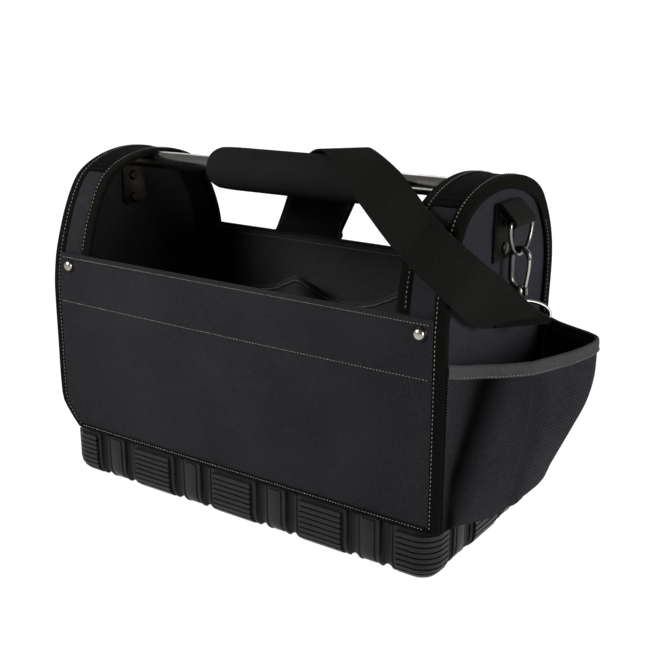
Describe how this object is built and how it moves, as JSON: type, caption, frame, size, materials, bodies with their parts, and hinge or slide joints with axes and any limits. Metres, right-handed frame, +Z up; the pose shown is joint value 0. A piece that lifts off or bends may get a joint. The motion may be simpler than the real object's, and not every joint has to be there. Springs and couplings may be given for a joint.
{
  "type": "tool bag",
  "caption": "Open-top cloth tool bag on a ribbed moulded base, with arched ends, a tube handle in a foam grip, a shoulder strap and a bellied mesh end pocket.",
  "frame": {"origin": "on the floor, under the middle of the base's flat underside", "axes": "+X along the bag's length towards the end with the bellied pocket, +Y from the seen long side to the back, +Z up"},
  "size_m": [0.5133, 0.2173, 0.3349],
  "materials": {
    "cloth": "coarse woven cloth, matte",
    "tape": "ribbed binding tape, matte",
    "webbing": "woven webbing, matte",
    "mesh_cloth": "ribbed mesh cloth with a slight sheen",
    "mouth_tape": "grey binding tape, matte",
    "base_rubber": "moulded, matte",
    "grip_foam": "closed-cell foam, matte",
    "bright_steel": "bright plated",
    "dull_steel": "dark plated, satin"
  },
  "bodies": {
    "bag": {"base_tray": "base_rubber", "front_wall": "cloth", "back_wall": "cloth", "left_end_wall": "cloth", "right_end_wall": "cloth", "front_pocket": "cloth", "back_pocket": "cloth", "inner_pockets": "cloth", "left_top_band": "tape", "right_top_band": "tape", "left_edge_binding": "tape", "right_edge_binding": "tape", "left_inner_binding": "tape", "right_inner_binding": "tape", "front_left_rivet": "dull_steel", "front_right_rivet": "dull_steel", "back_left_rivet": "dull_steel", "back_right_rivet": "dull_steel", "handle_tube": "bright_steel", "grip": "grip_foam", "left_bracket": "dull_steel", "right_bracket": "dull_steel", "left_upper_bolt": "dull_steel", "left_lower_bolt": "dull_steel", "right_upper_bolt": "dull_steel", "right_lower_bolt": "dull_steel", "left_ring_tab": "webbing", "right_ring_tab": "webbing", "left_d_ring": "dull_steel", "right_d_ring": "dull_steel", "right_hook_body": "dull_steel", "right_strap_ring": "dull_steel", "left_hook": "dull_steel", "shoulder_strap": "webbing", "shoulder_pad": "webbing", "end_pocket": "mesh_cloth", "end_pocket_binding": "mouth_tape"},
    "hook_gate": {"right_hook_gate": "dull_steel"}
  },
  "joints": [
    {"name": "gate_hinge", "type": "hinge", "parent": "bag", "child": "hook_gate", "pos_m": [0.2292, 0.002, 0.2365], "axis": [0, -1, 0], "range_deg": [0, 20], "stiffness_Nm_per_rad": 0.05}
  ]
}
